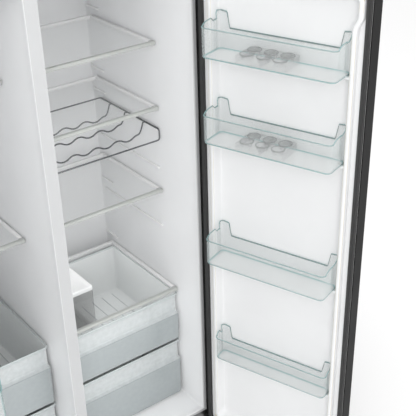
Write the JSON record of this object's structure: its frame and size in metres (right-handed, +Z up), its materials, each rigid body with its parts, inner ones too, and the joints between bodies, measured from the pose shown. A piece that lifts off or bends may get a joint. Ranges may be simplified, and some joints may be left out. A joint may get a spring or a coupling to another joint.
{
  "type": "side by side refrigerator",
  "caption": "Side by side refrigerator with both doors open, showing glass shelves, a bottle rack, drawers and door bins.",
  "frame": {"origin": "on the floor, under the middle of the box round the whole part with both doors open", "axes": "+Z up, +X to the right of someone facing the open front, +Y to the back"},
  "size_m": [1.2294, 1.1458, 1.77],
  "materials": {
    "dark_steel": "smooth charcoal enamel on sheet steel, semi gloss",
    "plated_steel": "zinc plated sheet steel, dull grey",
    "foam": "rigid foam, cream, matt",
    "white_plastic": "moulded white plastic, satin gloss",
    "grey_plastic": "moulded light grey plastic, satin",
    "black_plastic": "moulded black plastic, fine texture",
    "clear_plastic": "clear moulded plastic with a pale green tint",
    "drawer_plastic": "translucent grey moulded plastic",
    "shelf_glass": "clear toughened glass with a green edge",
    "shelf_trim": "grey green moulded plastic edge",
    "rack_wire": "dark plated steel wire, polished",
    "seal_rubber": "dark grey soft seal",
    "bright_steel": "bright plated screws",
    "compressor_paint": "black enamel on pressed steel",
    "coil_metal": "mill finish aluminium fins and tube",
    "lamp_plastic": "opal lamp cover"
  },
  "bodies": {
    "cabinet": {"outer_casing": "dark_steel", "rear_panel": "plated_steel", "base_plate": "plated_steel", "insulation_left": "foam", "insulation_mullion": "foam", "insulation_right": "foam", "insulation_shell": "foam", "fridge_liner": "white_plastic", "freezer_liner": "white_plastic", "mullion_cover": "grey_plastic", "kick_grille": "black_plastic", "upper_hinge_left": "plated_steel", "upper_hinge_right": "plated_steel", "lower_hinge_left": "plated_steel", "lower_hinge_right": "plated_steel", "hinge_covers": "black_plastic", "hinge_screws": "bright_steel", "compressor": "compressor_paint", "evaporator_coil": "coil_metal", "evaporator_cover": "white_plastic", "drain_pan": "black_plastic", "machine_cover": "plated_steel", "lamp_lens": "lamp_plastic", "power_inlet": "black_plastic"},
    "foot_left": {"levelling_foot_left": "black_plastic"},
    "foot_right": {"levelling_foot_right": "black_plastic"},
    "rollers": {"rear_rollers": "black_plastic"},
    "fan": {"evaporator_fan": "white_plastic"},
    "top_shelf": {"shelf_frame_top": "shelf_trim", "shelf_glass_top": "shelf_glass"},
    "middle_shelf": {"shelf_frame_middle": "shelf_trim", "shelf_glass_middle": "shelf_glass"},
    "lower_shelf": {"shelf_frame_lower": "shelf_trim", "shelf_glass_lower": "shelf_glass"},
    "rack": {"wine_rack": "rack_wire"},
    "drawer_cover": {"drawer_cover_frame": "white_plastic", "drawer_cover_glass": "shelf_glass"},
    "upper_crisper": {"crisper_drawer_upper": "drawer_plastic"},
    "lower_crisper": {"crisper_drawer_lower": "drawer_plastic"},
    "lidded_box": {"snack_box": "clear_plastic"},
    "freezer_top_shelf": {"freezer_shelf_upper": "shelf_glass"},
    "freezer_low_shelf": {"freezer_shelf_lower": "shelf_glass"},
    "freezer_top_drawer": {"freezer_drawer_upper": "drawer_plastic"},
    "freezer_low_drawer": {"freezer_drawer_lower": "drawer_plastic"},
    "fridge_door": {"fridge_door_skin": "dark_steel", "fridge_door_foam": "foam", "fridge_door_liner": "white_plastic", "fridge_door_gasket": "seal_rubber"},
    "freezer_door": {"freezer_door_skin": "dark_steel", "freezer_door_foam": "foam", "freezer_door_liner": "white_plastic", "freezer_door_gasket": "seal_rubber"},
    "top_bin": {"door_bin_top": "clear_plastic"},
    "second_bin": {"door_bin_second": "clear_plastic"},
    "third_bin": {"door_bin_third": "clear_plastic"},
    "low_bin": {"door_bin_low": "clear_plastic"},
    "top_eggs": {"egg_tray_top": "clear_plastic"},
    "second_eggs": {"egg_tray_second": "clear_plastic"},
    "freezer_top_bin": {"freezer_bin_upper": "clear_plastic"},
    "freezer_low_bin": {"freezer_bin_lower": "clear_plastic"}
  },
  "joints": [
    {"name": "fridge_door_hinge", "type": "hinge", "parent": "cabinet", "child": "fridge_door", "pos_m": [0.41586, -0.09019, 0.9], "axis": [0, 0, 1], "range_deg": [-109, 21]},
    {"name": "freezer_door_hinge", "type": "hinge", "parent": "cabinet", "child": "freezer_door", "pos_m": [-0.46014, -0.09019, 0.9], "axis": [0, 0, -1], "range_deg": [-109, 21]},
    {"name": "top_shelf_slide", "type": "slide", "parent": "cabinet", "child": "top_shelf", "axis": [0, -1, 0], "range_m": [0, 0.21]},
    {"name": "middle_shelf_slide", "type": "slide", "parent": "cabinet", "child": "middle_shelf", "axis": [0, -1, 0], "range_m": [0, 0.21]},
    {"name": "lower_shelf_slide", "type": "slide", "parent": "cabinet", "child": "lower_shelf", "axis": [0, -1, 0], "range_m": [0, 0.21]},
    {"name": "rack_slide", "type": "slide", "parent": "cabinet", "child": "rack", "axis": [0, -1, 0], "range_m": [0, 0.2]},
    {"name": "drawer_cover_slide", "type": "slide", "parent": "cabinet", "child": "drawer_cover", "axis": [0, -1, 0], "range_m": [0, 0.15]},
    {"name": "upper_crisper_slide", "type": "slide", "parent": "cabinet", "child": "upper_crisper", "axis": [0, -1, 0], "range_m": [0, 0.18]},
    {"name": "lower_crisper_slide", "type": "slide", "parent": "cabinet", "child": "lower_crisper", "axis": [0, -1, 0], "range_m": [0, 0.24]},
    {"name": "lidded_box_slide", "type": "slide", "parent": "upper_crisper", "child": "lidded_box", "axis": [1, 0, 0], "range_m": [0, 0.185]},
    {"name": "freezer_top_shelf_slide", "type": "slide", "parent": "cabinet", "child": "freezer_top_shelf", "axis": [0, -1, 0], "range_m": [0, 0.21]},
    {"name": "freezer_low_shelf_slide", "type": "slide", "parent": "cabinet", "child": "freezer_low_shelf", "axis": [0, -1, 0], "range_m": [0, 0.21]},
    {"name": "freezer_top_drawer_slide", "type": "slide", "parent": "cabinet", "child": "freezer_top_drawer", "axis": [0, -1, 0], "range_m": [0, 0.18]},
    {"name": "freezer_low_drawer_slide", "type": "slide", "parent": "cabinet", "child": "freezer_low_drawer", "axis": [0, -1, 0], "range_m": [0, 0.24]},
    {"name": "top_bin_lift", "type": "slide", "parent": "fridge_door", "child": "top_bin", "axis": [0, 0, 1], "range_m": [0, 0.04]},
    {"name": "second_bin_lift", "type": "slide", "parent": "fridge_door", "child": "second_bin", "axis": [0, 0, 1], "range_m": [0, 0.04]},
    {"name": "third_bin_lift", "type": "slide", "parent": "fridge_door", "child": "third_bin", "axis": [0, 0, 1], "range_m": [0, 0.04]},
    {"name": "low_bin_lift", "type": "slide", "parent": "fridge_door", "child": "low_bin", "axis": [0, 0, 1], "range_m": [0, 0.04]},
    {"name": "top_eggs_lift", "type": "slide", "parent": "top_bin", "child": "top_eggs", "axis": [0, 0, 1], "range_m": [0, 0.05]},
    {"name": "second_eggs_lift", "type": "slide", "parent": "second_bin", "child": "second_eggs", "axis": [0, 0, 1], "range_m": [0, 0.05]},
    {"name": "freezer_top_bin_lift", "type": "slide", "parent": "freezer_door", "child": "freezer_top_bin", "axis": [0, 0, 1], "range_m": [0, 0.04]},
    {"name": "freezer_low_bin_lift", "type": "slide", "parent": "freezer_door", "child": "freezer_low_bin", "axis": [0, 0, 1], "range_m": [0, 0.04]},
    {"name": "foot_left_turn", "type": "hinge", "parent": "cabinet", "child": "foot_left", "pos_m": [-0.40214, 0.00281, 0.03], "axis": [0, 0, 1], "continuous": true},
    {"name": "foot_right_turn", "type": "hinge", "parent": "cabinet", "child": "foot_right", "pos_m": [0.35786, 0.00281, 0.03], "axis": [0, 0, 1], "continuous": true},
    {"name": "roller_turn", "type": "hinge", "parent": "cabinet", "child": "rollers", "pos_m": [0.36286, 0.53281, 0.018], "axis": [1, 0, 0], "continuous": true},
    {"name": "fan_turn", "type": "hinge", "parent": "cabinet", "child": "fan", "pos_m": [-0.27214, 0.48281, 1.505], "axis": [0, 1, 0], "continuous": true}
  ]
}
